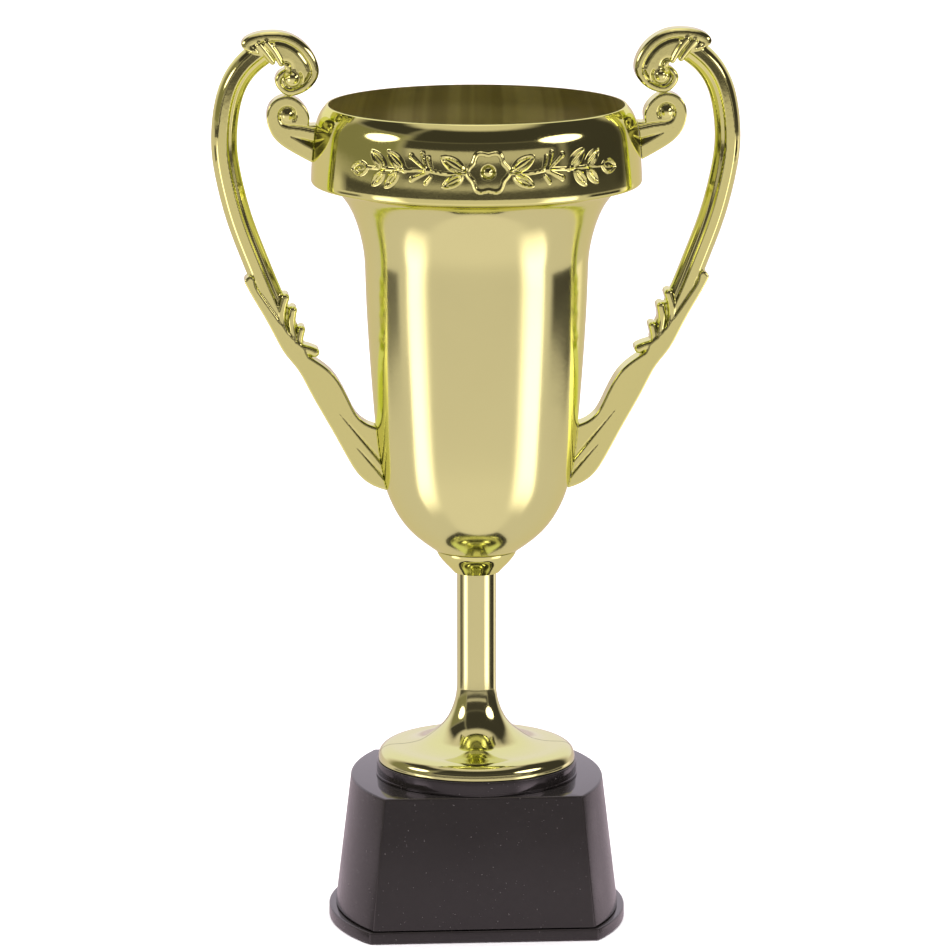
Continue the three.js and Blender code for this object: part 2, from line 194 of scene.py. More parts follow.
def rounded(corners, steps=5):
    """An open outline from (x, y) or (x, y, fillet radius) corners, with an arc at each fillet."""
    out = []
    for i, corner in enumerate(corners):
        here = np.array(corner[:2], float)
        radius = corner[2] if len(corner) > 2 else 0
        if not radius or i in (0, len(corners) - 1):
            out.append(here)
            continue
        back = np.array(corners[i - 1][:2], float) - here
        on = np.array(corners[i + 1][:2], float) - here
        back_length, on_length = np.linalg.norm(back), np.linalg.norm(on)
        back, on = back / back_length, on / on_length
        half = math.acos(max(-1.0, min(1.0, float(back @ on)))) / 2
        reach = min(radius / math.tan(half), 0.49 * back_length, 0.49 * on_length)
        centre = here + (back + on) / np.linalg.norm(back + on) * reach / math.cos(half)
        start, end = here + back * reach - centre, here + on * reach - centre
        turn = math.atan2(start[0] * end[1] - start[1] * end[0], float(start @ end))
        for step in range(steps + 1):
            angle = turn * step / steps
            cos, sin = math.cos(angle), math.sin(angle)
            out.append(centre + (cos * start[0] - sin * start[1], sin * start[0] + cos * start[1]))
    return np.array(out)


# ---- distances on a plane of points ----

def near_line(points, plane):
    """Distance from each point of a plane to an open line, share of the way along it, side (+1 left)."""
    points = np.asarray(points, float)
    lengths = np.linalg.norm(np.diff(points, axis=0), axis=1)
    started = np.r_[0, np.cumsum(lengths)]
    best = np.full(plane[0].shape, np.inf)
    along = np.zeros(plane[0].shape)
    side = np.ones(plane[0].shape)
    for i, length in enumerate(lengths):
        step = (points[i + 1] - points[i]) / length
        from_x, from_z = plane[0] - points[i, 0], plane[1] - points[i, 1]
        reach = np.clip(from_x * step[0] + from_z * step[1], 0, length)
        away_x, away_z = from_x - reach * step[0], from_z - reach * step[1]
        far = np.hypot(away_x, away_z)
        closer = far < best
        best = np.where(closer, far, best)
        along = np.where(closer, (started[i] + reach) / started[-1], along)
        side = np.where(closer, np.where(step[0] * away_z - step[1] * away_x >= 0, 1.0, -1.0), side)
    return best, along, side


def inside_depth(outline, plane):
    """Depth inside a closed outline, negative outside it."""
    ring = np.vstack([outline, outline[:1]])
    odd = np.zeros(plane[0].shape, bool)
    for (x1, z1), (x2, z2) in zip(ring[:-1], ring[1:]):
        if z1 == z2:
            continue
        spans = (z1 > plane[1]) != (z2 > plane[1])
        odd ^= spans & (plane[0] < x1 + (plane[1] - z1) / (z2 - z1) * (x2 - x1))
    distance = near_line(ring, plane)[0]
    return np.where(odd, distance, -distance)


def ramp(value, low, high):
    """Eased step from 0 at low to 1 at high."""
    t = np.clip((value - low) / (high - low), 0, 1)
    return t * t * (3 - 2 * t)


def hump(far, half):
    """Rounded ridge: 1 on its line, 0 at half its width and beyond."""
    t = np.clip(1 - far / half, 0, 1)
    return t * t * (3 - 2 * t)


# ---- meshes ----

def mesh_piece(name, vertices, faces, material, sharp=40):
    """A smooth-shaded object from vertices in millimetres; edges steeper than sharp degrees stay crisp."""
    mesh = bpy.data.meshes.new(name)
    mesh.from_pydata((np.asarray(vertices) * MM).tolist(), [], [list(map(int, face)) for face in faces])
    mesh.validate()
    mesh.update()
    mesh.shade_smooth()
    if sharp < 180:
        mesh.set_sharp_from_angle(angle=math.radians(sharp))
    mesh.materials.append(material)
    piece = bpy.data.objects.new(name, mesh)
    bpy.context.scene.collection.objects.link(piece)
    return piece


def grid_faces(rows, columns, close_rows=False, close_columns=False):
    """Quads of a grid of points, wrapped round in either direction."""
    faces = []
    for i in range(rows if close_rows else rows - 1):
        for j in range(columns if close_columns else columns - 1):
            i2, j2 = (i + 1) % rows, (j + 1) % columns
            faces.append((i * columns + j, i * columns + j2, i2 * columns + j2, i2 * columns + j))
    return faces


def lathe(name, outline, material, turns=192, sharp=40, swell=0, inside=None):
    """A closed outline of (radius, height) points turned about the Z axis.

    turns is a number of even steps or a list of angles from the front, swell moves each point of
    each step outwards, and inside is (first outline point, last outline point, material).
    """
    outline = np.asarray(outline, float)
    angles = np.arange(turns) / turns * 2 * math.pi if isinstance(turns, int) else turns
    radius = outline[:, 0] + swell * np.ones((len(angles), 1))
    vertices = np.stack([
        np.sin(angles)[:, None] * radius,
        -np.cos(angles)[:, None] * radius,
        np.tile(outline[:, 1], (len(angles), 1)),
    ], axis=-1).reshape(-1, 3)
    piece = mesh_piece(name, vertices, grid_faces(len(angles), len(outline), True, True), material, sharp)
    if inside:
        first, last, inner = inside
        piece.data.materials.append(inner)
        places = np.arange(len(outline))
        chosen = np.tile((places >= first) & (places <= last), len(angles))
        piece.data.polygons.foreach_set("material_index", chosen.astype(np.int32))
    return piece


def finish_piece(piece, nodes):
    """Every piece rides on the one body and stands for its CAD nodes."""
    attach(piece, "root")
    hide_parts(*nodes)
    return piece


# ---- material helpers ----

class Graph:
    """Short names for building a node tree; any input may be a number, a colour or another node's output."""

    def __init__(self, tree):
        self.tree = tree
        self.tree.nodes.clear()

    def node(self, kind, settings=None, **inputs):
        node = self.tree.nodes.new(kind)
        for key, value in (settings or {}).items():
            setattr(node, key, value)
        for key, value in inputs.items():
            self.plug(node.inputs[key.replace("_", " ")], value)
        return node

    def plug(self, socket, value):
        if isinstance(value, bpy.types.NodeSocket):
            self.tree.links.new(value, socket)
        elif isinstance(value, (tuple, list)) and socket.type == "RGBA" and len(value) == 3:
            socket.default_value = (*value, 1)
        else:
            socket.default_value = value

    def math(self, operation, *values, clamp=False):
        node = self.node("ShaderNodeMath", {"operation": operation, "use_clamp": clamp})
        for socket, value in zip(node.inputs, values):
            self.plug(socket, value)
        return node.outputs[0]

    def spread(self, value, low, high, to_low=0.0, to_high=1.0):
        """value eased from low..high to to_low..to_high and held at the ends."""
        node = self.node("ShaderNodeMapRange", {"interpolation_type": "SMOOTHSTEP"})
        for socket, number in zip(node.inputs[:5], (value, low, high, to_low, to_high)):
            self.plug(socket, number)
        return node.outputs[0]

    def mix(self, factor, first, second):
        node = self.node("ShaderNodeMix", {"data_type": "RGBA", "clamp_factor": True})
        self.plug(node.inputs[0], factor)
        self.plug(node.inputs[6], first)
        self.plug(node.inputs[7], second)
        return node.outputs[2]

    def noise(self, place, scale, detail=2.0, roughness=0.5):
        node = self.node("ShaderNodeTexNoise", Vector=place, Scale=scale, Detail=detail, Roughness=roughness)
        return node.outputs[0]

    def stretched(self, place, scale):
        node = self.node("ShaderNodeMapping", Vector=place, Scale=scale)
        return node.outputs[0]


def new_material(name):
    material = bpy.data.materials.new(name)
    material.use_nodes = True
    graph = Graph(material.node_tree)
    place = graph.node("ShaderNodeTexCoord").outputs["Object"]
    return material, graph, place


def bump(graph, height, distance, under=None):
    node = graph.node("ShaderNodeBump", Strength=1.0, Distance=distance, Height=height)
    if under is not None:
        graph.plug(node.inputs["Normal"], under)
    return node.outputs[0]


def close_material(graph, colour, roughness, metallic, normal, constants=None):
    shader = graph.node(
        "ShaderNodeBsdfPrincipled", Base_Color=colour, Roughness=roughness, Metallic=metallic, Normal=normal,
    )
    for key, value in (constants or {}).items():
        shader.inputs[key].default_value = value
    output = graph.node("ShaderNodeOutputMaterial")
    graph.plug(output.inputs["Surface"], shader.outputs[0])


# ---- materials ----

def gold_material(name, colours, roughness, waviness, edge_blue=0.65):
    """Vacuum-metallised plastic: greenish gold, nearly mirror smooth, with faint waves and dust."""
    material, graph, place = new_material(name)
    tone = graph.noise(place, 35, 3)
    colour = graph.mix(tone, *colours)
    specks = graph.spread(graph.noise(place, 2600, 1), 0.74, 0.80)
    colour = graph.mix(graph.math("MULTIPLY", specks, 0.25), colour, (0.55, 0.52, 0.3))
    rough = graph.spread(graph.noise(place, 60, 4), 0.3, 0.7, roughness * 0.85, roughness * 1.15)
    rough = graph.math("ADD", rough, graph.math("MULTIPLY", specks, 0.12))
    waves = graph.noise(place, 90, 2)
    grain = graph.noise(place, 900, 3)
    normal = bump(graph, waves, waviness)
    normal = bump(graph, grain, 0.000004, under=normal)
    close_material(graph, colour, rough, 1.0, normal, {"Specular Tint": (0.96, 0.94, edge_blue, 1)})
    return material


def raw_inside():
    """Unpolished inner faces: duller, with upright bands of painted reflection and painted shade towards the
    sides.
    """
    material, graph, place = new_material("gold_inside")
    split = graph.node("ShaderNodeSeparateXYZ", Vector=place)
    x, y, _ = split.outputs
    around = graph.math("ARCTAN2", x, y)
    sideways = graph.math("SINE", around)
    ring = graph.node("ShaderNodeCombineXYZ", X=sideways, Y=graph.math("COSINE", around))
    # Painted reflection: upright noise bands in the colour stand in for the walls and lights mirrored inside
    # the cup.
    painted_reflection_streaks = graph.noise(ring.outputs[0], 3.4, 3, 0.6)
    colour = graph.mix(graph.spread(painted_reflection_streaks, 0.42, 0.62), (0.70, 0.68, 0.34), (1.0, 0.985, 0.54))
    # Painted shade: the lining's colour darkens towards the left and right sides, where it mirrors dark
    # surroundings.
    painted_side_shade = graph.spread(graph.math("ABSOLUTE", sideways), 0.35, 0.98, 0.0, 0.45)
    colour = graph.mix(painted_side_shade, colour, (0.3, 0.28, 0.16))
    rough = graph.spread(graph.noise(place, 60, 4), 0.3, 0.7, 0.42, 0.55)
    normal = bump(graph, graph.noise(place, 300, 3), 0.00002)
    close_material(graph, colour, rough, 1.0, normal, {"Specular Tint": (0.95, 0.93, 0.7, 1)})
    return material


def black_plastic(name, roughness, grain_depth):
    """Moulded black plastic with a fine grain, dust specks and faint rubs."""
    material, graph, place = new_material(name)
    tone = graph.noise(place, 40, 4)
    colour = graph.mix(tone, (0.017, 0.0150, 0.0140), (0.025, 0.0222, 0.0205))
    specks = graph.spread(graph.noise(place, 1500, 1), 0.735, 0.78)
    colour = graph.mix(graph.math("MULTIPLY", specks, 0.5), colour, (0.16, 0.15, 0.14))
    rough = graph.spread(graph.noise(place, 120, 4), 0.3, 0.7, roughness * 0.9, roughness * 1.15)
    rough = graph.math("ADD", rough, graph.math("MULTIPLY", specks, 0.25))
    facing = graph.node("ShaderNodeSeparateXYZ", Vector=graph.node("ShaderNodeTexCoord").outputs["Normal"])
    level = graph.spread(facing.outputs[2], 0.9, 0.98)
    rough = graph.math("MULTIPLY", rough, graph.math("SUBTRACT", 1.0, graph.math("MULTIPLY", level, 0.65)))
    grain = graph.noise(place, 1400, 3)
    normal = bump(graph, grain, grain_depth)
    normal = bump(graph, specks, 0.00004, under=normal)
    close_material(graph, colour, rough, 0.0, normal, {"IOR": 1.5})
    return material


def steel_material():
    """Zinc-plated steel with fine turning marks."""
    material, graph, place = new_material("steel")
    tone = graph.noise(place, 300, 3)
    colour = graph.mix(tone, (0.52, 0.52, 0.50), (0.62, 0.61, 0.58))
    marks = graph.noise(graph.stretched(place, (400, 400, 4000)), 1, 3)
    rough = graph.spread(marks, 0.2, 0.8, 0.22, 0.38)
    close_material(graph, colour, rough, 1.0, bump(graph, marks, 0.00002))
    return material


def iron_material():
    """Rough cast iron of the hidden ballast."""
    material, graph, place = new_material("cast_iron")
    tone = graph.noise(place, 250, 5)
    colour = graph.mix(tone, (0.09, 0.085, 0.08), (0.16, 0.15, 0.14))
    rough = graph.spread(tone, 0.2, 0.8, 0.6, 0.8)
    close_material(graph, colour, rough, 0.7, bump(graph, graph.noise(place, 600, 4), 0.0002))
    return material


PALE_GOLD = ((0.78, 0.82, 0.35), (0.82, 0.865, 0.375))
DEEP_GOLD = ((0.79, 0.83, 0.30), (0.83, 0.875, 0.325))

GOLD_BOWL = gold_material("gold_bowl", PALE_GOLD, 0.13, 0.000010)
GOLD_BRIGHT = gold_material("gold_bright", DEEP_GOLD, 0.075, 0.000012)
GOLD_HANDLE = gold_material("gold_handle", DEEP_GOLD, 0.075, 0.000006, edge_blue=0.85)
GOLD_INSIDE = raw_inside()
GOLD_FOOT = gold_material("gold_foot", PALE_GOLD, 0.09, 0.000010, 0.95)
BLACK = black_plastic("black_plastic", 0.2, 0.000006)
BLACK_GLOSS = black_plastic("black_gloss", 0.1, 0.000004)
STEEL = steel_material()
IRON = iron_material()


# ---- base ----

def base_plan(plan, inset, count=28):
    """Plan of the base as a ring of (x, y) points: flat front and back, bowed ends."""
    bow = plan["x"] - plan["corner"]
    radius = (plan["y"] ** 2 + bow**2) / (2 * bow)
    half = math.asin((plan["y"] - inset) / (radius - inset))
    centre = plan["x"] - radius
    swing = np.linspace(-half, half, count)
    right = np.c_[centre + (radius - inset) * np.cos(swing), (radius - inset) * np.sin(swing)]
    left = -right
    flat = np.linspace(0, 1, count)[1:-1, None]
    back = right[-1] + (left[0] - right[-1]) * flat
    front = left[-1] + (right[0] - left[-1]) * flat
    return np.vstack([right, back, left, front])


def rounded_ring(ring, radius, steps=5):
    """The ring with its four sharp corners softened."""
    turned = np.roll(ring, -1, axis=0) - ring
    heading = np.arctan2(turned[:, 1], turned[:, 0])
    change = (heading - np.roll(heading, 1) + math.pi) % (2 * math.pi) - math.pi
    out = []
    for i, point in enumerate(ring):
        if abs(change[i]) < 0.5:
            out.append(point)
            continue
        before = point - radius * np.array([math.cos(heading[i - 1]), math.sin(heading[i - 1])])
        after = point + radius * np.array([math.cos(heading[i]), math.sin(heading[i])])
        for t in np.linspace(0, 1, steps + 1):
            out.append((1 - t) ** 2 * before + 2 * t * (1 - t) * point + t**2 * after)
    return np.array(out)


def base_ring(plan, inset, height, scale=(1, 1)):
    """One level of the base: its outline drawn in by inset and shrunk by scale."""
    ring = rounded_ring(base_plan(plan, 0), 0.5) * scale
    reach = np.linalg.norm(ring, axis=1)[:, None]
    return np.c_[ring * (1 - inset / reach), np.full(len(ring), height)]


def stacked(name, rings, material):
    """Closed solid from rings of equal length, capped at the first and the last."""
    count = len(rings[0])
    faces = grid_faces(len(rings), count, False, True)
    faces.append([(len(rings) - 1) * count + i for i in range(count)])
    faces.append(list(reversed(range(count))))
    return mesh_piece(name, np.vstack(rings), faces, material, 32)


def carve(piece, cutters):
    """Cuts the other objects out of the piece and removes them."""
    for cutter in cutters:
        cut = piece.modifiers.new("cut", "BOOLEAN")
        cut.operation = "DIFFERENCE"
        cut.solver = "EXACT"
        cut.object = cutter
    bpy.context.view_layer.update()
    carved = bpy.data.meshes.new_from_object(piece.evaluated_get(bpy.context.evaluated_depsgraph_get()))
    piece.modifiers.clear()
    piece.data = carved
    for cutter in cutters:
        bpy.data.objects.remove(cutter)
    return piece


def round_bar(name, radius, bottom, top, material, place=(0, 0), turns=32):
    """Upright cylinder at a place."""
    turn = np.arange(turns) / turns * 2 * math.pi
    ring = np.c_[place[0] + radius * np.cos(turn), place[1] + radius * np.sin(turn), np.full(turns, bottom)]
    return stacked(name, [ring, ring + (0, 0, top - bottom)], material)


def base_body():
    """Tapered hollow body with softly rounded edges and four screw posts."""
    full = BODY["top"] - BODY["bottom"]
    outer = rounded([(1.0, 0.0), (0.0, 0.0, 0.25), (0.0, full, 0.55), (12, full)], 6)
    inner = [(14, full - 2), (2.0, full - 2), (2.0, 0.0)]
    rings = []
    for inset, height in [*inner, *outer]:
        share = height / full
        taper = (1 + (BODY_TAPER["x"] - 1) * share, 1 + (BODY_TAPER["y"] - 1) * share)
        rings.append(base_ring(BODY, inset, BODY["bottom"] + height, taper))
    piece = stacked("base_body_shell", rings, BLACK)
    carve(piece, [round_bar("rod_hole", ROD_HOLE, 30, 40, BLACK)])
    finish_piece(piece, ["base_body"])
    for i, place in enumerate(PLATE_SCREW_PLACES):
        post = round_bar(f"base_post_{i + 1}", POST_RADIUS, BODY["bottom"], BODY["top"] - 2, BLACK, place)
        carve(post, [round_bar("post_hole", POST_HOLE, 0, 15, BLACK, place)])
        finish_piece(post, ["base_body"])


def base_plate():
    """Flat plate with softened edges and four stepped screw holes from below."""
    rows = rounded([(3.0, 0.0), (0.0, 0.0, 0.25), (0.0, PLATE["top"], 0.4), (3.0, PLATE["top"])], 5)
    piece = stacked("base_plate_moulding", [base_ring(PLATE, *row) for row in rows], BLACK)
    cutters = []
    for place in PLATE_SCREW_PLACES:
        cutters.append(round_bar("counterbore", 3.3, -1, 1.5, BLACK, place))
        cutters.append(round_bar("hole", 1.7, 1, 5, BLACK, place))
    carve(piece, cutters)
    return finish_piece(piece, ["base_plate"])


def riser():
    """Glossy disc between the base and the foot, with a low flange and a softened top edge."""
    r = RISER_RADIUS
    outline = rounded([
        (ROD_HOLE, RISER_BOTTOM), (r, RISER_BOTTOM, 0.1), (r, 38.6, 0.12), (r - 0.15, 38.75),
        (r - 0.15, RISER_TOP, 0.35), (ROD_HOLE, RISER_TOP),
    ])
    return finish_piece(lathe("riser_disc", outline, BLACK_GLOSS, 192), ["riser"])


# ---- foot, stem and calyx ----

def foot_outline():
    """Flared foot with a rounded shoulder, running up into the straight stem."""
    hem = rounded([(FOOT_RADIUS - WALL, FOOT_BOTTOM), (FOOT_RADIUS, FOOT_BOTTOM, 0.3), FOOT_SIDE[0]], 4)
    flare = spline(FOOT_SIDE, 90)
    stem = np.array([(STEM_RADIUS, z) for z in np.linspace(66, STEM_TOP, 12)])
    bore = [(STEM_BORE, STEM_TOP), *offset(flare, WALL)[::-1][:-2]]
    return np.vstack([hem[:-1], flare, stem, bore])


def foot_and_stem():
    """Two half shells that meet on the plane of the handles with a hairline seam."""
    outline = foot_outline()
    count = len(outline)
    for name, side in (("front", 0), ("back", math.pi)):
        turn = np.linspace(-math.pi / 2, math.pi / 2, 97) + side
        push = np.sign(-math.cos(side)) * SEAM / 2
        vertices = np.stack([
            np.outer(np.sin(turn), outline[:, 0]),
            -np.outer(np.cos(turn), outline[:, 0]) + push,
            np.tile(outline[:, 1], (len(turn), 1)),
        ], axis=-1).reshape(-1, 3)
        faces = grid_faces(len(turn), count, False, True)
        faces.append(list(range(count)))
        faces.append([(len(turn) - 1) * count + i for i in reversed(range(count))])
        piece = mesh_piece(f"foot_{name}_shell", vertices, faces, GOLD_FOOT)
        finish_piece(piece, [f"foot_{name}"])


def calyx():
    """Bulb under the cup, with a socket for the stem."""
    socket = STEM_RADIUS + 0.3
    hollow = [(ROD_HOLE, CALYX_TOP), (ROD_HOLE, CALYX_SHELF), (socket, CALYX_SHELF), (socket, CALYX_BOTTOM)]
    outline = np.vstack([spline(CALYX_SIDE, 24), hollow])
    return finish_piece(lathe("calyx_ring", outline, GOLD_BRIGHT, 128), ["calyx"])


# ---- cup ----

def bowl():
    """Thin-walled cup with the rod hole in its floor and a duller inner face."""
    side = spline(BOWL_SIDE, 150)
    rim_of_hole = [(ROD_HOLE, 99.9), (ROD_HOLE, BOWL_SIDE[0][1])]
    outline = np.vstack([side, offset(side, WALL)[::-1], rim_of_hole])
    inside = (len(side), len(outline) - 3, GOLD_INSIDE)
    return finish_piece(lathe("bowl_shell", outline, GOLD_BOWL, 256, inside=inside), ["bowl"])


# ---- raised flower and sprays on the collar; places are (arc length from the middle, height) ----

def leaf_outline(base, tip, width):
    """Oval with a pointed tip."""
    base, tip = np.array(base, float), np.array(tip, float)
    along = tip - base
    across = np.array([-along[1], along[0]]) / np.linalg.norm(along) * width / 2
    share = np.linspace(0, 1, 15)
    bulge = np.sin(math.pi * share**0.9) ** 0.75
    left = base + np.outer(share, along) + np.outer(bulge, across)
    right = base + np.outer(share, along) - np.outer(bulge, across)
    return np.vstack([left, right[-2:0:-1]])


def leaf_relief(plane, base, tip, width):
    """Raised rim, sunk middle and a low rib."""
    deep = inside_depth(leaf_outline(base, tip, width), plane)
    rim = LEAF_RISE * hump(np.abs(deep - 0.1), 0.46)
    rib = 0.6 * LEAF_RISE * hump(near_line([base, tip], plane)[0], 0.4) * (deep > 0.3)
    return np.maximum(rim, rib) - 0.12 * ramp(deep, 0.3, 0.7)


def bud_relief(plane, base, tip, width):
    """A thin stalk that thickens towards a round tip."""
    far, along, _ = near_line([base, tip], plane)
    stalk = LEAF_RISE * hump(far, 0.3 + 0.3 * along)
    ball = LEAF_RISE * 1.3 * hump(np.hypot(plane[0] - tip[0], plane[1] - tip[1]), width)
    return np.maximum(stalk, ball)


def flower_relief(plane):
    """Six-lobed flower: raised rim, flat petals and a ringed eye."""
    x, z = plane[0], plane[1] - BAND_MIDDLE
    far, turn = np.hypot(x, z), np.arctan2(z, x)
    edge = FLOWER_RADIUS + FLOWER_LOBE * np.cos(6 * turn)
    rim = 0.42 * ramp(edge - far, 0, 0.35) * (1 - ramp(edge - far, 0.75, 1.25))
    petals = 0.16 * ramp(edge - far, 0, 0.8)
    eye = 0.55 * hump(np.abs(far - 1.45), 0.5) * -1 + 0.4 * hump(far, 0.9)
    return np.maximum(rim, petals) + eye


def band_relief(plane):
    """Height of the moulded flower and its two sprays, the same on both sides of the middle."""
    plane = (np.abs(plane[0]), plane[1])
    height = 0.3 * hump(near_line(spline(SPRAY_STEM, 40), plane)[0], 0.38)
    for spray, make in ((LEAVES, leaf_relief), (BUDS, bud_relief)):
        for shape in spray:
            part = make(plane, *shape)
            height = np.where(np.abs(part) > np.abs(height), part, height)
    flower = flower_relief(plane)
    return np.where(np.abs(flower) > 0.01, flower, height)


def rim_collar():
    """Wide band with the relief in front and behind, rolled in to the mouth; dull lining."""
    foot = rounded(COLLAR_FOOT)
    outside = spline(COLLAR_SIDE, 60)
    rows = np.arange(BAND_BOTTOM, BAND_TOP, BAND_STEP)
    band = np.c_[np.interp(rows, outside[:, 1], outside[:, 0]), rows]
    shoulder = outside[outside[:, 1] > BAND_TOP]
    inside = spline(COLLAR_INSIDE, 24)
    outline = np.vstack([foot, band, shoulder, inside, COLLAR_LIP])
    reach = BAND_REACH / BAND_RADIUS
    dense = np.arange(-reach, reach, BAND_STEP / BAND_RADIUS)
    plain = np.linspace(reach, math.pi - reach, 40)
    angles = np.concatenate([dense, plain[:-1], dense + math.pi, plain[:-1] + math.pi])
    swell = np.zeros((len(angles), len(outline)))
    around = np.abs((angles + math.pi / 2) % math.pi - math.pi / 2) * BAND_RADIUS
    first = len(foot)
    plane = np.meshgrid(around, rows, indexing="ij")
    swell[:, first: first + len(rows)] = band_relief(plane)
    lining = (first + len(rows) + len(shoulder), len(outline), GOLD_INSIDE)
    piece = lathe("rim_collar_band", outline, GOLD_BRIGHT, angles, 50, swell, lining)
    return finish_piece(piece, ["rim_collar"])


# ---- handles: built as depth fields on a grid, then skinned ----

STEP = 0.22
DEPTH_GRID = np.arange(-4.4, 4.41, STEP)
PLANE = np.meshgrid(np.arange(20, 70, STEP), np.arange(112.5, 236.5, STEP), indexing="ij")
PLANE_X, PLANE_Z = PLANE


def groove(points, widths, slope=0.75):
    """How far a cut goes in: an even slope to the left of the line, a steep wall to its right."""
    steep = 0.13
    far, along, side = near_line(spline(points, 40), PLANE)
    width = np.interp(along, np.linspace(0, 1, len(widths)), widths)
    gentle = np.clip(width - far, 0, None)
    wall = width * np.clip(1 - far / steep, 0, 1)
    return slope * np.where(side > 0, gentle, wall)


def arc_points(centre, radius, start, end, count=40):
    """Points on a circle between two angles in degrees."""
    turn = np.radians(np.linspace(start, end, count))
    return np.c_[centre[0] + radius * np.cos(turn), centre[1] + radius * np.sin(turn)]


def moulding(depth_inside, height, edge):
    """Solid with an outline and a front and back height, its edges rounded; positive inside."""
    height = np.broadcast_to(height, depth_inside.shape)
    slope = np.hypot(*np.gradient(height, STEP))
    below = (height[:, None, :] - np.abs(DEPTH_GRID)[None, :, None]) / np.sqrt(1 + slope**2)[:, None, :]
    wall = np.broadcast_to(depth_inside[:, None, :], below.shape)
    corner = np.hypot(np.maximum(edge - wall, 0), np.maximum(edge - below, 0))
    return np.maximum(edge, np.minimum(wall, below)) - corner


def finger(points, radius, height):
    """A pillow-shaped leaf finger along a line."""
    far, along, _ = near_line(spline(points, 24), PLANE)
    width = radius * (1 - 0.25 * along)
    domed = height - 0.35 * (far / radius) ** 2
    return moulding(width - far, domed, 0.7)


def bead(x, z, radius, sunk):
    """A round bead that stands out of the front and the back."""
    spread = (PLANE_X - x) ** 2 + (PLANE_Z - z) ** 2
    depth = np.abs(DEPTH_GRID)[None, :, None] - sunk
    return radius - np.sqrt(spread[:, None, :] + np.maximum(depth, 0) ** 2)


def arm():
    """The long bar: flat outer bevel, flat front, crisp step, rolled inner bevel."""
    far, _, side = near_line(spline(ARM_LINE, 80), PLANE)
    places, heights = zip(*ARM_SECTION)
    height = np.interp(ARM_HALF - far * side, places, heights)
    return moulding(ARM_HALF - far, height, 0.3)


def crest():
    """Curled top: bevelled rim, flat ridge, then a cut that rises gently to the web."""
    rim = spline(CREST_RIM, 90)
    from_rim, along, _ = near_line(rim, PLANE)
    bevel = np.interp(along, [0, 0.45, 0.6, 1], [0.95, 0.95, 0.6, 0.5])
    ridge = np.interp(along, [0, 0.45, 0.6, 0.8, 1], [2.15, 2.2, 1.75, 1.45, 1.3])
    sunk = np.interp(along, [0, 0.1, 0.2], [0, 0.4, 0.75])
    height = HANDLE_FACE - 0.7 * np.clip(bevel - from_rim, 0, None)
    past = from_rim - ridge
    wall = 0.15
    left = sunk - 0.55 * np.clip(past - wall, 0, 1.0)
    height = height - np.where(past > 0, np.clip(sunk * past / wall, 0, left), 0)
    turning = near_line(arc_points(CREST_BEAD, 2.3, -215, 60), PLANE)[0]
    height = height - 0.6 * np.clip(1 - turning / 0.38, 0, 1)
    outline = np.vstack([rim, CREST_UNDERSIDE])
    return moulding(inside_depth(outline, PLANE), height, 0.4)


def crest_fingers():
    """Two fingers that wrap the arm under the crest, with small beads at their heads."""
    return [
        finger([(55.9, 231.2), (54.1, 229.0), (52.5, 226.8)], 0.98, 3.85),
        finger([(53.9, 231.7), (52.1, 229.4), (50.3, 226.3)], 0.95, 3.75),
        bead(55.9, 231.3, 0.62, 2.9),
        bead(54.1, 232.0, 0.62, 2.9),
        bead(52.5, 231.4, 0.6, 2.8),
    ]


def scroll():
    """Lower scroll: round lobe, ledge under the bead and a wedge cut towards the collar."""
    outline = np.vstack([spline(SCROLL_LOBE, 70), [(37.0, 198.2), (37.0, 210.7)]])
    ledge = [(50.6, 212.2), (49.8, 210.9), (46.0, 210.3), (41.7, 209.5), (37.0, 208.8)]
    wedge = [(48.1, 207.8), (45.1, 207.0), (42.0, 206.2), (37.0, 205.0)]
    height = HANDLE_FACE - groove(ledge, [0.5, 0.75, 0.8]) - groove(wedge, [0, 1.1, 2.1, 3.0], 0.55)
    ring = near_line(arc_points(SCROLL_BEAD, 2.1, -30, 215), PLANE)[0]
    height = height - 0.5 * np.clip(1 - ring / 0.36, 0, 1)
    return moulding(inside_depth(outline, PLANE), height, 0.42)


def leaf():
    """Sheath that clasps the arm, running down to the bowl with two V cuts."""
    inside_cup = [(20.0, 114.0), (20.0, 131.2)]
    bays = [(44.9, 152.9), (46.8, 154.6), (49.4, 157.4)]
    outline = np.vstack([
        spline(LEAF_TIP, 30), spline(LEAF_BACK, 60), inside_cup, spline(LEAF_FRONT, 40), bays,
    ])
    upper_cut = groove([(36.6, 136.3), (31.0, 129.7), (24.4, 121.8)], [0, 0.42, 0.6], 0.9)
    lower_cut = groove([(32.5, 127.6), (28.4, 123.1), (24.0, 118.0)], [0, 0.38, 0.55], 0.9)
    height = LEAF_FACE - upper_cut - lower_cut
    return moulding(inside_depth(outline, PLANE), height, 0.55)


def leaf_fingers():
    """Four fingers on a low bed where the sheath meets the arm."""
    bed = np.array([
        (51.0, 160.6), (49.3, 163.6), (48.5, 163.0), (46.5, 158.4), (44.8, 154.0), (46.5, 152.5), (51, 156),
    ])
    return [
        moulding(inside_depth(bed, PLANE), np.full(PLANE_X.shape, 2.3), 0.4),
        finger([(49.7, 165.6), (50.5, 162.3), (50.3, 158.6), (49.2, 156.0)], 1.2, 3.6),
        finger([(47.7, 162.3), (48.0, 159.0), (47.3, 155.0)], 1.15, 3.5),
        finger([(45.5, 157.2), (45.9, 155.0), (46.0, 152.6)], 1.05, 3.4),
        finger([(42.1, 151.2), (43.6, 151.9), (45.4, 152.6), (46.8, 153.6)], 1.25, 3.5),
    ]


def cup_clearance():
    """How far each grid point is outside the bowl and collar, less the gap between the pieces."""
    cup = np.vstack([spline(BOWL_SIDE, 120), rounded(COLLAR_FOOT)[1:], spline(COLLAR_SIDE, 60)])
    reach = np.interp(PLANE_Z[0], np.maximum.accumulate(cup[:, 1]), cup[:, 0])
    radius = np.hypot(PLANE_X[:, :1], DEPTH_GRID[None, :])
    return radius[:, :, None] - reach[None, None, :] - HANDLE_GAP


